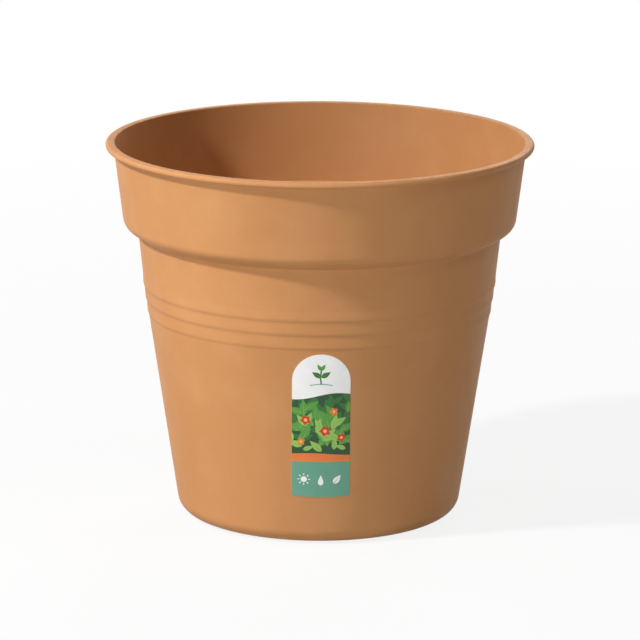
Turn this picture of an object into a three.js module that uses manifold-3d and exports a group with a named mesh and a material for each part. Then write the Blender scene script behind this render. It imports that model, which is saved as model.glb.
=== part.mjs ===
// Plastic seedling pot: a one-piece injection-moulded pot with a tall collar, and the film label stuck on its front.
// Millimetres, +Z up. The origin is the centre of the foot, on the ground, and the label faces -Y.

import * as THREE from "three";
import { mergeVertices } from "three/addons/utils/BufferGeometryUtils.js";
import Module from "manifold-3d";

// Overall sizes
const RIM_DIAMETER = 240;
const POT_HEIGHT = 212.4;

// Moulding
const WALL = 1.8;
const FLOOR = 2.2;

// Lip, a flange rolled outwards round the mouth
const LIP_THICKNESS = 2.7;
const LIP_OVERHANG = 4.4;
const LIP_FILLET = 0.8;
const MOUTH_BEVEL_WIDTH = 2.2;
const MOUTH_BEVEL_DEPTH = 2;

// Collar, the wide band under the lip, and the sloping shoulder that carries it on the body
const COLLAR_HEIGHT = 46.5;
const COLLAR_DRAFT = 7.2;
const SHOULDER_STEP = 8.1;
const SHOULDER_DROP = 5;
const SHOULDER_RADIUS = 7;
const SHOULDER_FILLET = 0.8;
const LEDGE_LIFT = 1;
const LEDGE_FILLET = 0.8;

// Body: a steep upper wall, then the tapering lower wall with beads round its top
const UPPER_WALL_HEIGHT = 24;
const UPPER_DRAFT = 6.1;
const KNEE_STEP = 0.23;
const LOWER_DRAFT = 8.6;

// Beads, each with a long ramp from its top to a low crown and a short underside
const BEAD_COUNT = 3;
const BEAD_PITCH = 7.98;
const BEAD_RAMP = 5.2;
const BEAD_UNDERSIDE = 1.3;
const BEAD_SWELL = 0.38;
const BEAD_CROWN_RADIUS = 5;
const BEAD_FOOT_RADIUS = 2.5;

// Foot and raised floor
const FOOT_RADIUS = 9.5;
const INNER_FOOT_RADIUS = 7.5;
const FOOT_WIDTH = 19;
const PANEL_RISE = 5;
const PANEL_DRAFT = 8;
const PANEL_FILLET = 1.2;
const GATE_DIAMETER = 14;
const GATE_DEPTH = 0.8;

// Drain holes, on the step between the foot ring and the raised floor
const DRAIN_COUNT = 8;
const DRAIN_DIAMETER = 11;

// Label, a strip of film with an arched top, on the plain wall between the beads and the foot
const LABEL_WIDTH = 32;
const LABEL_TOP_MARGIN = 2;
const LABEL_FOOT_MARGIN = 28.6;
const LABEL_CORNER = 2;
const LABEL_THICKNESS = 0.3;
const ADHESIVE_GAP = 0.3;

// Facets
const TURN_FACETS = 64;
const HOLE_FACETS = 24;
const LABEL_COLUMNS = 16;
const LABEL_ROWS = 8;
const CHORD_ERROR = 0.12;

const TERRACOTTA = 0xc98a5b;
const LABEL_WHITE = 0xf4f3ee;

const slopeOf = (degrees) => Math.tan(THREE.MathUtils.degToRad(degrees));
const acrossWall = (degrees) => WALL / Math.cos(THREE.MathUtils.degToRad(degrees));

// Outside radii and heights, worked down from the rim
const rimRadius = RIM_DIAMETER / 2;
const lipUnderside = POT_HEIGHT - LIP_THICKNESS;
const collarFootZ = POT_HEIGHT - COLLAR_HEIGHT;
const shoulderZ = collarFootZ - SHOULDER_DROP;
const collarTopRadius = rimRadius - LIP_OVERHANG;
const collarFootRadius = collarTopRadius - slopeOf(COLLAR_DRAFT) * (lipUnderside - collarFootZ);
const bodyTopRadius = collarFootRadius - SHOULDER_STEP;
const kneeZ = shoulderZ - UPPER_WALL_HEIGHT;
const lowestBeadZ = kneeZ - (BEAD_COUNT - 1) * BEAD_PITCH - BEAD_RAMP - BEAD_UNDERSIDE;
const upperWallRadius = (z) => bodyTopRadius - slopeOf(UPPER_DRAFT) * (shoulderZ - z);
const lowerWallRadius = (z) => upperWallRadius(kneeZ) + KNEE_STEP - slopeOf(LOWER_DRAFT) * (kneeZ - z);
const footRadius = lowerWallRadius(0);
const recessRadius = footRadius - FOOT_WIDTH;
const recessTopRadius = recessRadius - slopeOf(PANEL_DRAFT) * PANEL_RISE;

// Points of an arc from one angle to another, both ends included.
function arcPoints(centre, radius, from, to) {
  const widest = 2 * Math.acos(Math.max(0, 1 - CHORD_ERROR / radius));
  const steps = 2 * Math.ceil(Math.abs(to - from) / (2 * widest));
  return Array.from({ length: steps + 1 }, (_, i) => {
    const angle = from + ((to - from) * i) / steps;
    return new THREE.Vector2(centre.x + radius * Math.cos(angle), centre.y + radius * Math.sin(angle));
  });
}

// A corner rounded by an arc that is tangent to both of its sides.
function filletPoints(before, corner, after, radius) {
  const back = before.clone().sub(corner).normalize();
  const ahead = after.clone().sub(corner).normalize();
  const half = Math.acos(THREE.MathUtils.clamp(back.dot(ahead), -1, 1)) / 2;
  const middle = back.clone().add(ahead).normalize();
  const centre = corner.clone().addScaledVector(middle, radius / Math.sin(half));
  const start = corner.clone().addScaledVector(back, radius / Math.tan(half)).sub(centre);
  const turn = Math.sign(back.cross(ahead)) * (Math.PI - 2 * half);
  return arcPoints(centre, radius, start.angle(), start.angle() - turn);
}

// A shallow arc from one point to another that swells by the given height to the right of its way.
function swellPoints(from, to, swell) {
  const chord = to.clone().sub(from);
  const radius = (chord.lengthSq() / 4 + swell * swell) / (2 * swell);
  const right = new THREE.Vector2(chord.y, -chord.x).normalize();
  const centre = from.clone().addScaledVector(chord, 0.5).addScaledVector(right, swell - radius);
  const start = from.clone().sub(centre).angle();
  const sweep = 2 * Math.asin(THREE.MathUtils.clamp(chord.length() / (2 * radius), -1, 1));
  return arcPoints(centre, radius, start, start + sweep);
}

// An outline from corners of radius, height, corner rounding, and the swell of the side that leads to the corner.
function outlinePoints(corners) {
  const places = corners.map(({ r, z }) => new THREE.Vector2(r, z));
  return corners.flatMap(({ round = 0, swell = 0 }, i) => {
    const reached = swell ? swellPoints(places[i - 1], places[i], swell).slice(1) : [places[i]];
    return round ? filletPoints(places[i - 1], places[i], places[i + 1], round) : reached;
  });
}

// The half section of the moulding, from the axis under the floor, up the outside and back down the inside.
function mouldingSection() {
  const innerCollarTop = collarTopRadius - acrossWall(COLLAR_DRAFT);
  const ledgeTopZ = collarFootZ + LEDGE_LIFT;
  const ledgeFootZ = shoulderZ + LEDGE_LIFT;
  const bevelZ = POT_HEIGHT - MOUTH_BEVEL_DEPTH;
  const innerCollarRadius = (z) => innerCollarTop - slopeOf(COLLAR_DRAFT) * (lipUnderside - z);
  const innerUpperRadius = (z) => upperWallRadius(z) - acrossWall(UPPER_DRAFT);
  const innerLowerRadius = (z) => lowerWallRadius(z) - acrossWall(LOWER_DRAFT);
  const noseRadius = rimRadius - LIP_THICKNESS / 2;
  const panelTopZ = PANEL_RISE + FLOOR;

  const underside = [
    { r: 0, z: PANEL_RISE + GATE_DEPTH },
    { r: GATE_DIAMETER / 2 - GATE_DEPTH, z: PANEL_RISE + GATE_DEPTH },
    { r: GATE_DIAMETER / 2, z: PANEL_RISE },
    { r: recessTopRadius, z: PANEL_RISE, round: PANEL_FILLET },
    { r: recessRadius, z: 0 },
  ];
  // The top of the first bead lies on the upper wall, and those of the others on the lower wall.
  const beads = Array.from({ length: BEAD_COUNT }, (_, i) => {
    const footZ = lowestBeadZ + i * BEAD_PITCH;
    const crownZ = footZ + BEAD_UNDERSIDE;
    const topZ = crownZ + BEAD_RAMP;
    return [
      { r: lowerWallRadius(footZ), z: footZ, round: BEAD_FOOT_RADIUS },
      { r: lowerWallRadius(crownZ) + BEAD_SWELL, z: crownZ, round: BEAD_CROWN_RADIUS },
      { r: Math.min(lowerWallRadius(topZ), upperWallRadius(topZ)), z: topZ },
    ];
  });
  const outside = [
    { r: footRadius, z: 0, round: FOOT_RADIUS },
    ...beads.flat(),
    { r: bodyTopRadius, z: shoulderZ, round: SHOULDER_FILLET },
    { r: collarFootRadius, z: collarFootZ, round: SHOULDER_RADIUS },
    { r: collarTopRadius, z: lipUnderside, round: LIP_FILLET },
    { r: noseRadius, z: lipUnderside },
    { r: noseRadius, z: POT_HEIGHT, swell: LIP_THICKNESS / 2 },
  ];
  const inside = [
    { r: innerCollarRadius(POT_HEIGHT) + MOUTH_BEVEL_WIDTH, z: POT_HEIGHT },
    { r: innerCollarRadius(bevelZ), z: bevelZ },
    { r: innerCollarRadius(ledgeTopZ), z: ledgeTopZ, round: LEDGE_FILLET },
    { r: innerUpperRadius(ledgeFootZ), z: ledgeFootZ, round: SHOULDER_FILLET + WALL },
    { r: innerUpperRadius(kneeZ), z: kneeZ },
    { r: innerLowerRadius(FLOOR), z: FLOOR, round: INNER_FOOT_RADIUS },
    { r: recessRadius + acrossWall(PANEL_DRAFT), z: FLOOR, round: PANEL_FILLET },
    { r: recessTopRadius + acrossWall(PANEL_DRAFT), z: panelTopZ, round: PANEL_FILLET + WALL },
    { r: 0, z: panelTopZ },
  ];
  return outlinePoints([...underside, ...outside, ...inside]);
}

const wasm = await Module();
wasm.setup();

// A closed geometry as a solid that can be cut.
function solidFrom(geometry) {
  const bare = new THREE.BufferGeometry().setAttribute("position", geometry.getAttribute("position"));
  if (geometry.index) bare.setIndex(geometry.index);
  const merged = mergeVertices(bare, 1e-4);
  const corners = merged.index.array;
  const kept = [];
  for (let i = 0; i < corners.length; i += 3) {
    const [a, b, c] = corners.slice(i, i + 3);
    if (a !== b && b !== c && c !== a) kept.push(a, b, c);
  }
  const mesh = new wasm.Mesh({
    numProp: 3,
    vertProperties: merged.attributes.position.array,
    triVerts: new Uint32Array(kept),
  });
  return new wasm.Manifold(mesh);
}

function geometryFrom(solid) {
  const mesh = solid.getMesh();
  const geometry = new THREE.BufferGeometry();
  geometry.setAttribute("position", new THREE.BufferAttribute(mesh.vertProperties, 3));
  geometry.setIndex(new THREE.BufferAttribute(mesh.triVerts, 1));
  geometry.computeVertexNormals();
  return geometry;
}

// The moulded pot: the turned section, with the drain holes cut through the step of its floor.
function potGeometry() {
  const turned = new THREE.LatheGeometry(mouldingSection(), TURN_FACETS).rotateX(Math.PI / 2);
  const cutHeight = 2 * (PANEL_RISE + FLOOR + GATE_DEPTH);
  const drill = new THREE.CylinderGeometry(DRAIN_DIAMETER / 2, DRAIN_DIAMETER / 2, cutHeight, HOLE_FACETS);
  drill.rotateX(Math.PI / 2);
  let pot = solidFrom(turned);
  for (let i = 0; i < DRAIN_COUNT; i++) {
    const angle = ((i + 0.5) * 2 * Math.PI) / DRAIN_COUNT;
    const hole = drill.clone().translate(recessRadius, 0, 0).rotateZ(angle);
    pot = pot.subtract(solidFrom(hole));
  }
  return geometryFrom(pot);
}

// How far the end of a strip falls back, at a place across it, to round its corners by the given radius.
function cornerDrop(across, radius) {
  const into = Math.max(0, Math.abs(across) - (LABEL_WIDTH / 2 - radius));
  return radius - Math.sqrt(Math.max(0, radius ** 2 - into ** 2));
}

// The label: a flat film with an arched top, wrapped without stretch on the cone of the lower wall.
function labelGeometry() {
  const lean = THREE.MathUtils.degToRad(LOWER_DRAFT);
  const topZ = lowestBeadZ - LABEL_TOP_MARGIN;
  const height = (topZ - LABEL_FOOT_MARGIN) / Math.cos(lean);
  const reach = lowerWallRadius(LABEL_FOOT_MARGIN) / Math.sin(lean);
  const film = new THREE.BoxGeometry(LABEL_WIDTH, height, LABEL_THICKNESS, LABEL_COLUMNS, LABEL_ROWS, 1);
  const place = film.getAttribute("position");
  for (let i = 0; i < place.count; i++) {
    const across = (LABEL_WIDTH / 2) * Math.sin((Math.PI * place.getX(i)) / LABEL_WIDTH);
    const low = cornerDrop(across, LABEL_CORNER);
    const high = height - cornerDrop(across, LABEL_WIDTH / 2);
    const up = THREE.MathUtils.lerp(low, high, place.getY(i) / height + 0.5);
    // The cone unrolls to a sector about its apex, which lies below the pot.
    const slant = Math.hypot(across, reach + up);
    const turn = Math.atan2(across, reach + up) / Math.sin(lean);
    const out = ADHESIVE_GAP + LABEL_THICKNESS / 2 + place.getZ(i);
    const radius = slant * Math.sin(lean) + out * Math.cos(lean);
    const z = LABEL_FOOT_MARGIN + (slant - reach) * Math.cos(lean) - out * Math.sin(lean);
    place.setXYZ(i, radius * Math.sin(turn), -radius * Math.cos(turn), z);
  }
  film.computeVertexNormals();
  return film;
}

function namedMesh(name, geometry, colour, roughness) {
  const material = new THREE.MeshStandardMaterial({ color: colour, roughness, metalness: 0 });
  const mesh = new THREE.Mesh(geometry, material);
  mesh.name = name;
  return mesh;
}

const seedlingPot = new THREE.Group();
seedlingPot.add(namedMesh("pot", potGeometry(), TERRACOTTA, 0.5));
seedlingPot.add(namedMesh("label", labelGeometry(), LABEL_WHITE, 0.35));

export default seedlingPot;
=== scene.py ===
# Looks of the plastic seedling pot: a smooth moulded shell and a printed film label,
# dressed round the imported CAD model. +Z is up, and the frame is the CAD model's.
# The sizes of the pot and the label are in millimetres, scaled by MM. Those of the stage are in metres.

import math
import random

import bmesh
import bpy
import numpy as np
from mathutils import Matrix, Vector
from mathutils.geometry import delaunay_2d_cdt


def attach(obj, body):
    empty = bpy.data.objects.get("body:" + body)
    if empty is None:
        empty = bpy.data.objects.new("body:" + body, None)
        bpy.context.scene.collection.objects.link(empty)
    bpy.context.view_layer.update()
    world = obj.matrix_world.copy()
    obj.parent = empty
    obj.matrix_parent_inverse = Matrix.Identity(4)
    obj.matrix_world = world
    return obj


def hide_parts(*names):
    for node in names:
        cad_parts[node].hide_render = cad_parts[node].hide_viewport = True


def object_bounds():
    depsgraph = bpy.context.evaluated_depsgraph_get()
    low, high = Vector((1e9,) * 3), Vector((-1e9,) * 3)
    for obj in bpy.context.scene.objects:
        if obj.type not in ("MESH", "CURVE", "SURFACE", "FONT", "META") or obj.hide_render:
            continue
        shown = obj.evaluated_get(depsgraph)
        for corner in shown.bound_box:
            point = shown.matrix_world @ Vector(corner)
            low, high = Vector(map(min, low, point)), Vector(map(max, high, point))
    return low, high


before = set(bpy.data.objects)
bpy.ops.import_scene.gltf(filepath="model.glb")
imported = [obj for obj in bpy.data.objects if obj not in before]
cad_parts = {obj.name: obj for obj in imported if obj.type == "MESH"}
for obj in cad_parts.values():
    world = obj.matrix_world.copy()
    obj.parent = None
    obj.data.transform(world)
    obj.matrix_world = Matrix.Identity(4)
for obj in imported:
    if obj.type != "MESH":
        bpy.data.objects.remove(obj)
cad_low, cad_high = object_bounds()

MM = 0.001

# Overall sizes, from the box of the CAD model
RIM_DIAMETER = round((cad_high[0] - cad_low[0]) / MM, 1)
POT_HEIGHT = round((cad_high[2] - cad_low[2]) / MM, 1)

# Moulding
WALL = 1.8
FLOOR = 2.2

# Lip, with a rolled edge and a thin rounded mouth
LIP_THICKNESS = 2.7
LIP_OVERHANG = 4.4
LIP_FILLET = 0.8
LIP_ROLL = 3.5
MOUTH_WALL = 1.0
MOUTH_ROUND = 0.8

# Collar and shoulder, with a ledge inside
COLLAR_HEIGHT = 46.5
COLLAR_DRAFT = math.radians(7.2)
SHOULDER_STEP = 8.1
SHOULDER_DROP = 5.0
SHOULDER_RADIUS = 7.0
SHOULDER_FILLET = 0.8
LEDGE_LIFT = 1.0
LEDGE_FILLET = 0.8

# Body
UPPER_WALL_HEIGHT = 24.0
UPPER_DRAFT = math.radians(6.1)
KNEE_STEP = 0.23
LOWER_DRAFT = math.radians(8.6)

# Beads, each with a long ramp from its top to a low crown and a short underside
BEAD_COUNT = 3
BEAD_PITCH = 7.98
BEAD_RAMP = 5.2
BEAD_UNDERSIDE = 1.3
BEAD_SWELL = 0.46
BEAD_TOP_RADIUS = 15.0
BEAD_CROWN_RADIUS = 5.0
BEAD_FOOT_RADIUS = 2.5

# Foot, raised floor and gate mark
FOOT_RADIUS = 9.5
INNER_FOOT_RADIUS = 7.5
FOOT_WIDTH = 19.0
PANEL_RISE = 5.0
PANEL_DRAFT = math.radians(8.0)
PANEL_FILLET = 1.2
GATE_DIAMETER = 14.0
GATE_DEPTH = 0.8
SPRUE_RADIUS = 1.6
SPRUE_HEIGHT = 0.5

# Drain holes, whose cutters reach well past the floor
DRAIN_COUNT = 8
DRAIN_DIAMETER = 11.0
CUTTER_LENGTH = 4 * (PANEL_RISE + FLOOR)

# Label, a film that lies on the wall
LABEL_WIDTH = 32.0
LABEL_TOP_MARGIN = 2.0
LABEL_FOOT_MARGIN = 28.6
LABEL_CORNER = 2.0
FILM_BACK = 0.02
FILM_FRONT = 0.26

# Mesh fineness
TURN_FACETS = 256
HOLE_FACETS = 64
CHORD_ERROR = 0.008
SHARP_ANGLE = math.radians(40)

# Easing of corners that bend by more than an angle: its length and the most of a side that it takes
EASED_BEND = math.radians(12)
EASE_LENGTH = 0.3
EASE_SHARE = 0.45
EASE_STEPS = 4

# Radii and heights of the outside, worked down from the rim
RIM_RADIUS = RIM_DIAMETER / 2
LIP_UNDERSIDE = POT_HEIGHT - LIP_THICKNESS
COLLAR_FOOT_Z = POT_HEIGHT - COLLAR_HEIGHT
SHOULDER_Z = COLLAR_FOOT_Z - SHOULDER_DROP
COLLAR_TOP = RIM_RADIUS - LIP_OVERHANG
COLLAR_FOOT = COLLAR_TOP - math.tan(COLLAR_DRAFT) * (LIP_UNDERSIDE - COLLAR_FOOT_Z)
BODY_TOP = COLLAR_FOOT - SHOULDER_STEP
KNEE_Z = SHOULDER_Z - UPPER_WALL_HEIGHT
LOWEST_BEAD_Z = KNEE_Z - (BEAD_COUNT - 1) * BEAD_PITCH - BEAD_RAMP - BEAD_UNDERSIDE


def upper_wall(z):
    return BODY_TOP - math.tan(UPPER_DRAFT) * (SHOULDER_Z - z)


def lower_wall(z):
    return upper_wall(KNEE_Z) + KNEE_STEP - math.tan(LOWER_DRAFT) * (KNEE_Z - z)


FOOT_EDGE = lower_wall(0)
RECESS_RADIUS = FOOT_EDGE - FOOT_WIDTH
RECESS_TOP = RECESS_RADIUS - math.tan(PANEL_DRAFT) * PANEL_RISE


# Radii of the inside, one wall in from the outside

def across(draft, wall=WALL):
    """How far a wall that leans by a draft reaches along the radius."""
    return wall / math.cos(draft)


def inner_collar(z, wall):
    return COLLAR_TOP - across(COLLAR_DRAFT, wall) - math.tan(COLLAR_DRAFT) * (LIP_UNDERSIDE - z)


def inner_upper(z):
    return upper_wall(z) - across(UPPER_DRAFT)


def inner_lower(z):
    return lower_wall(z) - across(LOWER_DRAFT)


# Outlines

def arc_points(centre, radius, start, sweep):
    """Points on an arc, close enough together to stay within the chord error."""
    widest = 2 * math.acos(max(0.0, 1 - CHORD_ERROR / radius))
    steps = 2 * math.ceil(abs(sweep) / (2 * widest))
    angles = [start + sweep * i / steps for i in range(steps + 1)]
    return [centre + radius * Vector((math.cos(a), math.sin(a))) for a in angles]


def fillet_points(before, corner, after, radius):
    """A corner rounded by an arc that is tangent to both of its sides."""
    back = (before - corner).normalized()
    ahead = (after - corner).normalized()
    half = back.angle(ahead) / 2
    centre = corner + (back + ahead).normalized() * (radius / math.sin(half))
    start = corner + back * (radius / math.tan(half)) - centre
    turn = math.copysign(math.pi - 2 * half, back.x * ahead.y - back.y * ahead.x)
    return arc_points(centre, radius, math.atan2(start.y, start.x), -turn)


def swell_points(start, end, swell):
    """An arc that swells to the right of the straight way from start to end."""
    chord = end - start
    radius = (chord.length_squared / 4 + swell * swell) / (2 * swell)
    right = Vector((chord.y, -chord.x)).normalized()
    centre = start + chord / 2 + right * (swell - radius)
    sweep = 2 * math.asin(min(1.0, chord.length / (2 * radius)))
    first = start - centre
    return arc_points(centre, radius, math.atan2(first.y, first.x), sweep)


def at(radius, height, rounding=0, swell=0):
    """A corner of the section, with its rounding or the swell of the side that leads to it."""
    return radius, height, rounding, swell


def outline_points(corners):
    places = [Vector((c[0], c[1])) for c in corners]
    points = []
    for i, (_, _, rounding, swell) in enumerate(corners):
        if rounding:
            points += fillet_points(places[i - 1], places[i], places[i + 1], rounding)
        elif swell:
            points += swell_points(places[i - 1], places[i], swell)[1:]
        else:
            points.append(places[i])
    return points


def eased(points):
    """Rounds what is still a sharp corner, as the edges of a mould are."""
    result = [points[0]]
    for before, corner, after in zip(points, points[1:], points[2:]):
        back = before - corner
        ahead = after - corner
        if back.angle(ahead) > math.pi - EASED_BEND:
            result.append(corner)
            continue
        start = corner + back.normalized() * min(EASE_LENGTH, back.length * EASE_SHARE)
        end = corner + ahead.normalized() * min(EASE_LENGTH, ahead.length * EASE_SHARE)
        for i in range(EASE_STEPS + 1):
            t = i / EASE_STEPS
            result.append(start.lerp(corner, t).lerp(corner.lerp(end, t), t))
    result.append(points[-1])
    return result


# Section of the moulding

def underside_corners():
    """From the axis, past the gate mark, to the inner edge of the foot ring."""
    gate_z = PANEL_RISE + GATE_DEPTH
    return [
        at(0, gate_z - SPRUE_HEIGHT),
        at(SPRUE_RADIUS, gate_z - SPRUE_HEIGHT),
        at(SPRUE_RADIUS, gate_z),
        at(GATE_DIAMETER / 2 - GATE_DEPTH, gate_z),
        at(GATE_DIAMETER / 2, PANEL_RISE),
        at(RECESS_TOP, PANEL_RISE, PANEL_FILLET),
        at(RECESS_RADIUS, 0),
    ]


def bead_corners():
    """The beads, from the lowest up."""
    corners = []
    for i in range(BEAD_COUNT):
        foot_z = LOWEST_BEAD_Z + i * BEAD_PITCH
        crown_z = foot_z + BEAD_UNDERSIDE
        top_z = crown_z + BEAD_RAMP
        corners += [
            at(lower_wall(foot_z), foot_z, BEAD_FOOT_RADIUS),
            at(lower_wall(crown_z) + BEAD_SWELL, crown_z, BEAD_CROWN_RADIUS),
            at(min(lower_wall(top_z), upper_wall(top_z)), top_z, BEAD_TOP_RADIUS),
        ]
    return corners


def outside_corners():
    """From the foot up to the rolled lip."""
    roll = LIP_ROLL / 2
    nose = RIM_RADIUS - roll
    return [
        at(FOOT_EDGE, 0, FOOT_RADIUS),
        *bead_corners(),
        at(BODY_TOP, SHOULDER_Z, SHOULDER_FILLET),
        at(COLLAR_FOOT, COLLAR_FOOT_Z, SHOULDER_RADIUS),
        at(COLLAR_TOP, LIP_UNDERSIDE, LIP_FILLET),
        at(nose, POT_HEIGHT - LIP_ROLL),
        at(nose, POT_HEIGHT, swell=roll),
    ]


def inside_corners():
    """From the mouth down to the axis, on top of the raised floor."""
    ledge_top = COLLAR_FOOT_Z + LEDGE_LIFT
    ledge_foot = SHOULDER_Z + LEDGE_LIFT
    panel_top = PANEL_RISE + FLOOR
    return [
        at(inner_collar(POT_HEIGHT, MOUTH_WALL), POT_HEIGHT, MOUTH_ROUND),
        at(inner_collar(ledge_top, WALL), ledge_top, LEDGE_FILLET),
        at(inner_upper(ledge_foot), ledge_foot, SHOULDER_FILLET + WALL),
        at(inner_upper(KNEE_Z), KNEE_Z),
        at(inner_lower(FLOOR), FLOOR, INNER_FOOT_RADIUS),
        at(RECESS_RADIUS + across(PANEL_DRAFT), FLOOR, PANEL_FILLET),
        at(RECESS_TOP + across(PANEL_DRAFT), panel_top, PANEL_FILLET + WALL),
        at(0, panel_top),
    ]


def section():
    """The half section, out along the underside, up the outside and down the inside."""
    return eased(outline_points(underside_corners() + outside_corners() + inside_corners()))


# Meshes

def new_object(name, vertices, faces):
    mesh = bpy.data.meshes.new(name)
    mesh.from_pydata(vertices, [], faces)
    mesh.validate()
    piece = bpy.data.objects.new(name, mesh)
    bpy.context.scene.collection.objects.link(piece)
    return piece


def smooth(piece):
    piece.data.polygons.foreach_set("use_smooth", [True] * len(piece.data.polygons))
    piece.data.set_sharp_from_angle(angle=SHARP_ANGLE)
    piece.data.update()


def turned(name, points, facets):
    """A solid of revolution about Z from a section that starts and ends on the axis."""
    rings = points[1:-1]
    turns = [2 * math.pi * j / facets for j in range(facets)]
    vertices = [(p.x * math.cos(a) * MM, p.x * math.sin(a) * MM, p.y * MM) for p in rings for a in turns]
    under = len(vertices)
    over = under + 1
    vertices += [(0, 0, points[0].y * MM), (0, 0, points[-1].y * MM)]
    last = (len(rings) - 1) * facets
    faces = []
    for j in range(facets):
        k = (j + 1) % facets
        faces.append((under, k, j))
        faces.append((over, last + j, last + k))
        for i in range(0, last, facets):
            faces.append((i + j, i + k, i + facets + k, i + facets + j))
    return new_object(name, vertices, faces)


def drill_bits():
    """The cutters of the drain holes, as one mesh."""
    tool = bmesh.new()
    for i in range(DRAIN_COUNT):
        angle = 2 * math.pi * (i + 0.5) / DRAIN_COUNT
        place = Vector((math.cos(angle), math.sin(angle), 0)) * RECESS_RADIUS * MM
        bmesh.ops.create_cone(
            tool,
            cap_ends=True,
            segments=HOLE_FACETS,
            radius1=DRAIN_DIAMETER / 2 * MM,
            radius2=DRAIN_DIAMETER / 2 * MM,
            depth=CUTTER_LENGTH * MM,
            matrix=Matrix.Translation(place),
        )
    mesh = bpy.data.meshes.new("drill_bits")
    tool.to_mesh(mesh)
    tool.free()
    bits = bpy.data.objects.new("drill_bits", mesh)
    bpy.context.scene.collection.objects.link(bits)
    return bits


def cut(piece, cutter):
    change = piece.modifiers.new("cut", "BOOLEAN")
    change.operation = "DIFFERENCE"
    change.solver = "EXACT"
    change.object = cutter
    graph = bpy.context.evaluated_depsgraph_get()
    result = bpy.data.meshes.new_from_object(piece.evaluated_get(graph))
    piece.modifiers.clear()
    piece.data = result
    bpy.data.objects.remove(cutter)


# Materials

# Sockets of a mix node that take and give colours
MIX_FACTOR = 0
MIX_FIRST = 6
MIX_SECOND = 7
MIX_RESULT = 2

# Wear of the plastic: how far it reaches from the foot and the rim, and its strength
FOOT_WEAR = 5.0
RIM_WEAR = 1.2
WEAR_STRENGTH = 0.25

# Specks of regrind in the plastic
SPECK_STRENGTH = 0.18

# How much darker the thinnest ink is than the fullest
INK_DRIFT = 0.06


def srgb(red, green, blue):
    """A colour of 0 to 255 sRGB values, as the linear colour that shaders take."""
    linear = lambda v: v / 12.92 if v <= 0.04045 else ((v + 0.055) / 1.055) ** 2.4
    return (*(linear(v / 255) for v in (red, green, blue)), 1.0)


class Nodes:
    """A material, with short ways to add and link its nodes."""

    def __init__(self, name):
        self.material = bpy.data.materials.new(name)
        self.material.use_nodes = True
        self.tree = self.material.node_tree
        self.shader = self.tree.nodes["Principled BSDF"]

    def add(self, kind, **settings):
        node = self.tree.nodes.new(kind)
        for key, value in settings.items():
            setattr(node, key, value)
        return node

    def link(self, source, target):
        self.tree.links.new(source, target)

    def feed(self, socket, value):
        """Sets a socket to a plain value, or links it to the output of another node."""
        if isinstance(value, (int, float, tuple)):
            socket.default_value = value
        else:
            self.link(value, socket)

    def place(self):
        return self.add("ShaderNodeTexCoord").outputs["Object"]

    def height(self):
        node = self.add("ShaderNodeSeparateXYZ")
        self.link(self.place(), node.inputs["Vector"])
        return node.outputs["Z"]

    def drawn_out(self, share):
        """The place with its height times a share, which draws a pattern out along Z."""
        node = self.add("ShaderNodeMapping")
        self.link(self.place(), node.inputs["Vector"])
        node.inputs["Scale"].default_value = (1.0, 1.0, share)
        return node.outputs["Vector"]

    def noise(self, scale, detail=3.0, roughness=0.5, vector=None):
        node = self.add("ShaderNodeTexNoise")
        self.link(vector or self.place(), node.inputs["Vector"])
        node.inputs["Scale"].default_value = scale
        node.inputs["Detail"].default_value = detail
        node.inputs["Roughness"].default_value = roughness
        return node.outputs["Fac"]

    def ramp(self, source, low, high, start=0.0, end=1.0):
        """Start where the source is at its low value, end where it is at its high one."""
        node = self.add("ShaderNodeMapRange")
        self.link(source, node.inputs["Value"])
        node.inputs["From Min"].default_value = low
        node.inputs["From Max"].default_value = high
        node.inputs["To Min"].default_value = start
        node.inputs["To Max"].default_value = end
        return node.outputs["Result"]

    def calculate(self, operation, first, second):
        node = self.add("ShaderNodeMath", operation=operation)
        for socket, value in zip(node.inputs, (first, second)):
            self.feed(socket, value)
        return node.outputs["Value"]

    def mix(self, factor, first, second):
        node = self.add("ShaderNodeMix", data_type="RGBA")
        for index, value in ((MIX_FACTOR, factor), (MIX_FIRST, first), (MIX_SECOND, second)):
            self.feed(node.inputs[index], value)
        return node.outputs[MIX_RESULT]

    def bump(self, height, distance, strength, normal=None):
        node = self.add("ShaderNodeBump")
        self.link(height, node.inputs["Height"])
        node.inputs["Distance"].default_value = distance
        node.inputs["Strength"].default_value = strength
        if normal:
            self.link(normal, node.inputs["Normal"])
        return node.outputs["Normal"]


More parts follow.
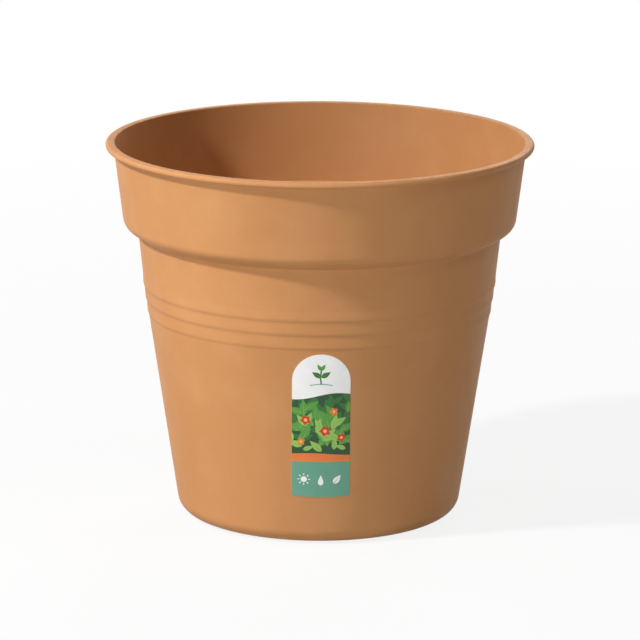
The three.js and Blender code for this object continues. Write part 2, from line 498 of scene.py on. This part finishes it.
def moulded_plastic():
    """Satin terracotta-coloured plastic, with faint flow marks, specks of regrind and rubbed edges."""
    n = Nodes("terracotta_plastic")
    base = srgb(205, 147, 96)
    pale = srgb(214, 159, 109)
    deep = srgb(196, 137, 87)
    dark_speck = srgb(160, 98, 58)
    light_speck = srgb(230, 180, 138)
    rubbed = srgb(224, 178, 140)

    flow = n.noise(scale=9.0, detail=4.0, roughness=0.55, vector=n.drawn_out(0.35))
    colour = n.mix(n.ramp(flow, 0.35, 0.65), deep, base)
    cloud = n.noise(scale=38.0)
    colour = n.mix(n.ramp(cloud, 0.45, 0.75, end=0.35), colour, pale)
    speck = n.noise(scale=900.0, detail=2.0, roughness=0.6)
    colour = n.mix(n.ramp(speck, 0.66, 0.74, end=SPECK_STRENGTH), colour, dark_speck)
    colour = n.mix(n.ramp(speck, 0.34, 0.27, end=SPECK_STRENGTH), colour, light_speck)

    z = n.height()
    near_foot = n.ramp(z, FOOT_WEAR * MM, 0.0)
    near_rim = n.ramp(z, (POT_HEIGHT - RIM_WEAR) * MM, POT_HEIGHT * MM)
    rub = n.noise(scale=260.0, detail=5.0, roughness=0.65, vector=n.drawn_out(0.5))
    patches = n.ramp(rub, 0.45, 0.65, end=WEAR_STRENGTH)
    worn = n.calculate("MULTIPLY", n.calculate("MAXIMUM", near_foot, near_rim), patches)
    colour = n.mix(worn, colour, rubbed)
    n.link(colour, n.shader.inputs["Base Color"])

    scuff = n.noise(scale=60.0, detail=5.0, roughness=0.6, vector=n.drawn_out(0.25))
    n.link(n.ramp(scuff, 0.3, 0.7, start=0.46, end=0.58), n.shader.inputs["Roughness"])
    n.shader.inputs["IOR"].default_value = 1.49
    n.shader.inputs["Specular IOR Level"].default_value = 0.1

    ripple = n.noise(scale=70.0, detail=2.0, vector=n.drawn_out(0.4))
    satin = n.noise(scale=2600.0, detail=2.0)
    rippled = n.bump(ripple, distance=0.0006, strength=0.06)
    n.link(n.bump(satin, distance=0.00008, strength=0.22, normal=rippled), n.shader.inputs["Normal"])
    return n.material


def printed_film(name, ink):
    """Ink on glossy film. Its colour drifts a little, as that of a print does."""
    n = Nodes(name)
    thin = tuple(v * (1 - INK_DRIFT) for v in ink[:3]) + (1.0,)
    drift = n.noise(scale=120.0)
    colour = n.mix(n.ramp(drift, 0.35, 0.65), thin, ink)
    grain = n.noise(scale=1800.0, detail=2.0, roughness=0.6)
    colour = n.mix(n.ramp(grain, 0.3, 0.7, end=0.25), colour, thin)
    n.link(colour, n.shader.inputs["Base Color"])

    smear = n.noise(scale=300.0)
    n.link(n.ramp(smear, 0.3, 0.7, start=0.30, end=0.38), n.shader.inputs["Roughness"])
    wave = n.noise(scale=220.0, detail=2.0)
    n.link(n.bump(wave, distance=0.0002, strength=0.05), n.shader.inputs["Normal"])
    n.shader.inputs["IOR"].default_value = 1.47
    return n.material


INKS = {
    "film_white": srgb(251, 251, 249),
    "ink_shade": srgb(32, 74, 38),
    "ink_leaf_deep": srgb(52, 112, 50),
    "ink_leaf": srgb(86, 152, 62),
    "ink_leaf_light": srgb(152, 196, 92),
    "ink_red": srgb(206, 58, 44),
    "ink_orange": srgb(232, 128, 62),
    "ink_yellow": srgb(246, 200, 84),
    "ink_teal": srgb(104, 163, 140),
}


# Label artwork, flat, in millimetres: x across from the middle, y up from the lower edge

FILM_HEIGHT = (LOWEST_BEAD_Z - LABEL_TOP_MARGIN - LABEL_FOOT_MARGIN) / math.cos(LOWER_DRAFT)
HALF_WIDTH = LABEL_WIDTH / 2
CORNER_STEPS = 10
ARCH_STEPS = 60

# Panels, which run past the edge of the label by the bleed
BLEED = 1.0
PANEL_EDGE = HALF_WIDTH + BLEED
TEAL_TOP = 21.0
BAND_TOP = 25.5
GARDEN_TOP = 60.0
HILL_STEPS = 40
HILL_TURN = 2.1
PRINT_SEED = 11

# Rows of leaves, back to front: count, range of heights, range of lengths, ink, ink of the rib
LEAF_ROWS = (
    (62, (34.0, 57.0), (6.0, 9.0), "ink_leaf_deep", "ink_shade"),
    (44, (30.0, 52.0), (6.0, 10.0), "ink_leaf", "ink_leaf_light"),
    (20, (27.0, 44.0), (6.0, 9.5), "ink_leaf_light", "ink_leaf"),
)
LEAF_LEAN = 75
LEAF_WIDTH = 0.45
LEAF_SKEW = 0.8
LEAF_TAPER = 0.15
RIB_LENGTH = 0.8
RIB_WIDTH = 0.28

# Flowers: x, y, length of a petal, ink
FLOWERS = (
    (-8.5, 46.0, 3.2, "ink_red"),
    (7.0, 51.0, 2.7, "ink_orange"),
    (2.2, 39.5, 3.4, "ink_red"),
    (-11.0, 33.0, 2.5, "ink_orange"),
    (11.2, 35.5, 2.9, "ink_red"),
)
PETAL_COUNT = 5
PETAL_WIDTH = 0.85
HEART_RADIUS = 0.3
FLOWER_TURN = 1.2

# Sprout and the line of ground under it
SPROUT_FOOT = 67.2
SPROUT_HEIGHT = 12.0
GROUND_LINE = ((-6.2, 66.6), (-2.0, 67.3), (2.0, 67.3), (6.2, 66.6))
GROUND_WIDTH = 0.5

# Signs on the teal panel
SIGN_Y = 10.5
SUN_X = -9.3
SUN_RADIUS = 1.7
SUN_RAYS = 8
RAY_ENDS = (2.4, 3.5)
RAY_WIDTH = 0.5
DROP_WIDTH = 2.1
DROP_HEIGHT = 3.1
DROP_SINK = 0.4
DROP_POINT = 1.5
DROP_STEPS = 36
LEAF_SIGN = (7.0, SIGN_Y - 2.6)
LEAF_SIGN_TURN = math.radians(52)

# Film mesh: strips on each side of the middle, to bend round the wall, and the distance of a weld
BEND_LINES = 10
WELD = 1e-4


def arc(x, y, radius, first, last, steps):
    """Points on an arc between two angles in degrees."""
    turns = [math.radians(first + (last - first) * i / steps) for i in range(steps + 1)]
    return [(x + radius * math.cos(a), y + radius * math.sin(a)) for a in turns]


def circle(x, y, radius, count=28):
    turns = [2 * math.pi * i / count for i in range(count)]
    return [(x + radius * math.cos(a), y + radius * math.sin(a)) for a in turns]


def turned_about(points, x, y, angle):
    c = math.cos(angle)
    s = math.sin(angle)
    return [(x + px * c - py * s, y + px * s + py * c) for px, py in points]


def leaf(x, y, length, width, angle, count=9):
    """A pointed leaf that grows from a point in a direction."""
    steps = [i / count for i in range(count + 1)]
    halves = [width / 2 * math.sin(math.pi * t ** LEAF_SKEW) * (1 - LEAF_TAPER * t) for t in steps]
    edge = [(length * t, half) for t, half in zip(steps, halves)]
    return turned_about(edge + [(px, -py) for px, py in edge[-2:0:-1]], x, y, angle)


def rib(x, y, length, width, angle):
    return turned_about([(0, width / 2), (length, 0), (0, -width / 2)], x, y, angle)


def stroke(points, width):
    """A ribbon of even width along a line."""
    path = [Vector(p) for p in points]
    left = []
    right = []
    for i, p in enumerate(path):
        ahead = (path[min(i + 1, len(path) - 1)] - path[max(i - 1, 0)]).normalized()
        side = Vector((-ahead.y, ahead.x)) * width / 2
        left.append(tuple(p + side))
        right.append(tuple(p - side))
    return left + right[::-1]


def film_outline():
    """The edge of the label: a strip with an arched top and rounded lower corners."""
    corner = arc(HALF_WIDTH - LABEL_CORNER, LABEL_CORNER, LABEL_CORNER, 270, 360, CORNER_STEPS)
    arch = arc(0, FILM_HEIGHT - HALF_WIDTH, HALF_WIDTH, 0, 180, ARCH_STEPS)
    return corner + arch + [(-x, y) for x, y in reversed(corner)]


def hill(y, rise, phase):
    """The wavy top edge of a panel."""
    xs = [HALF_WIDTH * (2 * i / HILL_STEPS - 1) for i in range(HILL_STEPS + 1)]
    return [(x, y + rise * math.sin(x / HALF_WIDTH * HILL_TURN + phase)) for x in xs]


def panel(low, top):
    """A panel from a height up to its top edge."""
    return [(-PANEL_EDGE, low), (PANEL_EDGE, low), *reversed(top)]


def flower(shapes, x, y, size, petals, heart, turn):
    for i in range(PETAL_COUNT):
        angle = turn + 2 * math.pi * i / PETAL_COUNT
        shapes.append((leaf(x, y, size, size * PETAL_WIDTH, angle, count=6), petals))
    shapes.append((circle(x, y, size * HEART_RADIUS, count=14), heart))


def garden(shapes, draw):
    """A bed of leaves and flowers, back to front."""
    for count, heights, lengths, ink, rib_ink in LEAF_ROWS:
        for _ in range(count):
            x = draw.uniform(-HALF_WIDTH, HALF_WIDTH)
            y = draw.uniform(*heights)
            length = draw.uniform(*lengths)
            angle = math.radians(90 + draw.uniform(-LEAF_LEAN, LEAF_LEAN))
            shapes.append((leaf(x, y, length, length * LEAF_WIDTH, angle), ink))
            shapes.append((rib(x, y, length * RIB_LENGTH, RIB_WIDTH, angle), rib_ink))
    for x, y, size, petals in FLOWERS:
        flower(shapes, x, y, size, petals, "ink_yellow", draw.uniform(0, FLOWER_TURN))


def sprout(shapes, x, y, size, ink, light):
    """A seedling with two pairs of leaves, drawn in shares of its size."""
    stem = [(x, y), (x - 0.04 * size, y + 0.3 * size), (x, y + 0.72 * size)]
    shapes.append((stroke(stem, 0.07 * size), ink))
    lower = y + 0.34 * size
    upper = y + 0.68 * size
    for side in (-1, 1):
        wide = math.radians(90 - side * 58)
        steep = math.radians(90 - side * 30)
        shapes.append((leaf(x, lower, 0.5 * size, 0.26 * size, wide), ink))
        shapes.append((rib(x, lower, 0.42 * size, 0.03 * size, wide), light))
        shapes.append((leaf(x, upper, 0.36 * size, 0.18 * size, steep), light))


def signs(shapes):
    """Sun, drop and leaf, the usual signs for care."""
    shapes.append((circle(SUN_X, SIGN_Y, SUN_RADIUS), "film_white"))
    for i in range(SUN_RAYS):
        a = math.radians(360 / SUN_RAYS * i)
        ends = [(SUN_X + r * math.cos(a), SIGN_Y + r * math.sin(a)) for r in RAY_ENDS]
        shapes.append((stroke(ends, RAY_WIDTH), "film_white"))
    turns = [2 * math.pi * i / DROP_STEPS for i in range(DROP_STEPS)]
    across_drop = [DROP_WIDTH * math.sin(t) * math.sin(t / 2) ** DROP_POINT for t in turns]
    up_drop = [SIGN_Y - DROP_SINK + DROP_HEIGHT * math.cos(t) for t in turns]
    shapes.append((list(zip(across_drop, up_drop)), "film_white"))
    shapes.append((leaf(*LEAF_SIGN, length=6.4, width=3.6, angle=LEAF_SIGN_TURN, count=14), "film_white"))
    shapes.append((rib(*LEAF_SIGN, length=5.2, width=0.45, angle=LEAF_SIGN_TURN), "ink_teal"))


def artwork():
    """Closed shapes and their inks, back to front."""
    draw = random.Random(PRINT_SEED)
    shapes = []
    top = hill(GARDEN_TOP, rise=2.0, phase=0.4)
    shapes.append((panel(TEAL_TOP, top), "ink_shade"))
    garden(shapes, draw)
    sky_top = FILM_HEIGHT + BLEED
    sky = [*top, (PANEL_EDGE, GARDEN_TOP), (PANEL_EDGE, sky_top), (-PANEL_EDGE, sky_top)]
    shapes.append((sky, "film_white"))
    shapes.append((panel(TEAL_TOP, hill(BAND_TOP, rise=0.7, phase=2.2)), "ink_orange"))
    shapes.append((panel(-BLEED, [(-PANEL_EDGE, TEAL_TOP), (PANEL_EDGE, TEAL_TOP)]), "ink_teal"))
    shapes.append((stroke(GROUND_LINE, GROUND_WIDTH), "ink_teal"))
    sprout(shapes, 0.0, SPROUT_FOOT, SPROUT_HEIGHT, "ink_leaf_deep", "ink_leaf")
    signs(shapes)
    return shapes


# Label mesh

def within(polygon, places):
    """Which of many places lie in a polygon."""
    x = places[:, 0]
    y = places[:, 1]
    odd = np.zeros(len(places), bool)
    for (ax, ay), (bx, by) in zip(polygon, polygon[1:] + polygon[:1]):
        spans = (ay > y) != (by > y)
        if spans.any():
            odd ^= spans & (x < (bx - ax) * (y - ay) / (by - ay) + ax)
    return odd


def cut_film(outline, shapes):
    """The flat points of the film, its triangles and their inks, cut along the edges of the print."""
    points = []
    edges = []
    for polygon in [outline] + [shape for shape, _ in shapes]:
        first = len(points)
        points += [Vector(p) for p in polygon]
        edges += [(first + i, first + (i + 1) % len(polygon)) for i in range(len(polygon))]
    for i in range(1 - BEND_LINES, BEND_LINES):
        x = HALF_WIDTH * i / BEND_LINES
        first = len(points)
        points += [Vector((x, -BLEED)), Vector((x, FILM_HEIGHT + BLEED))]
        edges.append((first, first + 1))
    places, _, triangles, *_ = delaunay_2d_cdt(points, edges, [], 0, WELD)
    flat = np.array([(p.x, p.y) for p in places])
    corners = np.array(triangles)
    corners = corners[within(outline, flat[corners].mean(1))]

    names = list(INKS)
    middle = flat[corners].mean(1)
    ink = np.zeros(len(corners), int)
    for polygon, name in shapes:
        ink[within(polygon, middle)] = names.index(name)

    used = np.unique(corners)
    order = np.zeros(len(flat), int)
    order[used] = np.arange(len(used))
    return flat[used], order[corners].tolist(), ink


def wrapped(flat, out):
    """Flat points of the film, wrapped on the cone of the lower wall and moved out from it."""
    sine = math.sin(LOWER_DRAFT)
    cosine = math.cos(LOWER_DRAFT)
    reach = lower_wall(LABEL_FOOT_MARGIN) / sine
    x = flat[:, 0]
    y = flat[:, 1]
    slant = np.hypot(x, reach + y)
    turn = np.arctan2(x, reach + y) / sine
    radius = slant * sine + out * cosine
    z = LABEL_FOOT_MARGIN + (slant - reach) * cosine - out * sine
    return np.stack([radius * np.sin(turn), -radius * np.cos(turn), z], 1) * MM


def open_edges(triangles):
    """The edges that belong to one triangle only."""
    edges = [edge for a, b, c in triangles for edge in ((a, b), (b, c), (c, a))]
    known = set(edges)
    return [(a, b) for a, b in edges if (b, a) not in known]


def label_piece():
    """The film as a thin closed solid, with a material for each ink."""
    flat, triangles, ink = cut_film(film_outline(), artwork())
    count = len(flat)
    vertices = np.concatenate([wrapped(flat, FILM_FRONT), wrapped(flat, FILM_BACK)])
    faces = list(triangles)
    faces += [[i + count for i in face[::-1]] for face in triangles]
    faces += [[b, a, a + count, b + count] for a, b in open_edges(triangles)]
    piece = new_object("label_film", vertices.tolist(), faces)
    for name, colour in INKS.items():
        piece.data.materials.append(printed_film(name, colour))
    slots = np.zeros(len(piece.data.polygons), np.int32)
    slots[: len(ink)] = ink
    piece.data.polygons.foreach_set("material_index", slots)
    return piece


# Pieces

pot = turned("pot_shell", section(), TURN_FACETS)
cut(pot, drill_bits())
smooth(pot)
pot.data.materials.clear()
pot.data.materials.append(moulded_plastic())
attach(pot, "root")
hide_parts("pot")

label = label_piece()
smooth(label)
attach(label, "root")
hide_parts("label")

# Stage, in metres: a white floor that keeps the pot's shadow, and a white surround

FLOOR_SIZE = 8.0
FLOOR_GAP = 0.0002
FLOOR_WHITE = (0.9, 0.9, 0.9, 1.0)
FLOOR_GREY = (0.31, 0.31, 0.31, 1.0)
WHITE = (1.0, 1.0, 1.0, 1.0)
AMBIENT = 0.07

# Glow of the floor, which grows with the distance and is left out under the pot
FLOOR_GLOW = 0.85
FOOTPRINT = 0.069
GLOW_NEAR = 0.35
GLOW_FAR = 1.1


def showing(tree):
    """1 where a surface is seen, straight, mirrored or through glass, and 0 where it only lights."""
    path = tree.nodes.new("ShaderNodeLightPath")
    factor = path.outputs["Is Camera Ray"]
    for kind in ("Is Glossy Ray", "Is Transmission Ray"):
        either = tree.nodes.new("ShaderNodeMath")
        either.operation = "MAXIMUM"
        tree.links.new(factor, either.inputs[0])
        tree.links.new(path.outputs[kind], either.inputs[1])
        factor = either.outputs["Value"]
    return factor


def white_floor():
    """Matt grey to what it lights and white where it is seen, with a glow that keeps the shadow."""
    n = Nodes("floor")
    n.link(n.mix(showing(n.tree), FLOOR_GREY, FLOOR_WHITE), n.shader.inputs["Base Color"])
    n.shader.inputs["Roughness"].default_value = 0.9
    n.shader.inputs["Specular IOR Level"].default_value = 0.0
    away = n.add("ShaderNodeVectorMath", operation="LENGTH")
    n.link(n.place(), away.inputs[0])
    distance = away.outputs["Value"]
    share = n.ramp(distance, GLOW_NEAR, GLOW_FAR, start=FLOOR_GLOW)
    share = n.calculate("MULTIPLY", share, n.calculate("GREATER_THAN", distance, FOOTPRINT))
    glow = n.add("ShaderNodeEmission")
    blend = n.add("ShaderNodeMixShader")
    n.link(n.calculate("MULTIPLY", showing(n.tree), share), blend.inputs[0])
    n.link(n.shader.outputs[0], blend.inputs[1])
    n.link(glow.outputs[0], blend.inputs[2])
    n.link(blend.outputs[0], n.tree.nodes["Material Output"].inputs["Surface"])
    return n.material


def white_surround():
    """Dim even light from all round, which is white where it is seen."""
    world = bpy.data.worlds.new("surround")
    world.use_nodes = True
    tree = world.node_tree
    tree.nodes.clear()
    lit = tree.nodes.new("ShaderNodeBackground")
    lit.inputs["Color"].default_value = WHITE
    lit.inputs["Strength"].default_value = AMBIENT
    seen = tree.nodes.new("ShaderNodeBackground")
    seen.inputs["Color"].default_value = WHITE
    blend = tree.nodes.new("ShaderNodeMixShader")
    out = tree.nodes.new("ShaderNodeOutputWorld")
    tree.links.new(showing(tree), blend.inputs[0])
    tree.links.new(lit.outputs[0], blend.inputs[1])
    tree.links.new(seen.outputs[0], blend.inputs[2])
    tree.links.new(blend.outputs[0], out.inputs[0])
    return world


half = FLOOR_SIZE / 2
floor_corners = [(-half, -half, 0), (half, -half, 0), (half, half, 0), (-half, half, 0)]
floor = new_object("floor", floor_corners, [(0, 1, 2, 3)])
floor.data.materials.append(white_floor())
floor.location.z = -FLOOR_GAP
bpy.context.scene.world = white_surround()


# Lamps

def lamp(name, side, height, distance, wide, tall, power):
    """A soft box aimed at the middle of the pot, some degrees to the right of its front and up."""
    turn = math.radians(side)
    rise = math.radians(height)
    towards = Vector((math.sin(turn) * math.cos(rise), -math.cos(turn) * math.cos(rise), math.sin(rise)))
    data = bpy.data.lights.new(name, "AREA")
    data.shape = "RECTANGLE"
    data.size = wide
    data.size_y = tall
    data.energy = power
    source = bpy.data.objects.new(name, data)
    source.location = Vector((0, 0, POT_HEIGHT / 2 * MM)) + towards * distance
    source.rotation_euler = towards.to_track_quat("Z", "Y").to_euler()
    bpy.context.scene.collection.objects.link(source)


def strip(name, side, power):
    """A low, wide lamp, level with the pot."""
    lamp(name, side, height=0, distance=1.6, wide=0.9, tall=0.18, power=power)


lamp("key", side=-63, height=42, distance=2.2, wide=0.18, tall=0.18, power=40.0)
lamp("right", side=72, height=50, distance=2.0, wide=0.5, tall=0.5, power=4.2)
lamp("back_left", side=-115, height=35, distance=2.0, wide=0.5, tall=0.5, power=6.0)
lamp("behind", side=160, height=30, distance=2.0, wide=0.9, tall=0.5, power=9.0)
strip("front_left_strip", side=-45, power=8.0)
strip("front_strip", side=0, power=4.4)
strip("front_right_strip", side=50, power=1.8)

# Camera, as fitted to the photo's outline, in metres, radians and pixels of the photo
FOCAL_PIXELS = 4364.8
IMAGE_PIXELS = 640
SHIFT_RIGHT = 0.777
SHIFT_UP = 0.5
SENSOR_WIDTH = 36.0
CAMERA_BACK = 2.4
CAMERA_UP = 0.6849
CAMERA_PITCH = 0.2357
CAMERA_ROLL = 0.0045
CAMERA_TURN = math.radians(-0.8)
camera_data = bpy.data.cameras.new("camera")
camera_data.sensor_width = SENSOR_WIDTH
camera_data.lens = FOCAL_PIXELS * SENSOR_WIDTH / IMAGE_PIXELS
camera_data.shift_x = SHIFT_RIGHT / IMAGE_PIXELS
camera_data.shift_y = SHIFT_UP / IMAGE_PIXELS
camera = bpy.data.objects.new("camera", camera_data)
camera.matrix_world = (
    Matrix.Rotation(CAMERA_TURN, 4, "Z")
    @ Matrix.Translation((0, -CAMERA_BACK, CAMERA_UP))
    @ Matrix.Rotation(math.pi / 2 - CAMERA_PITCH, 4, "X")
    @ Matrix.Rotation(CAMERA_ROLL, 4, "Z")
)
bpy.context.scene.collection.objects.link(camera)
bpy.context.scene.camera = camera
bpy.context.scene.view_settings.view_transform = "Standard"
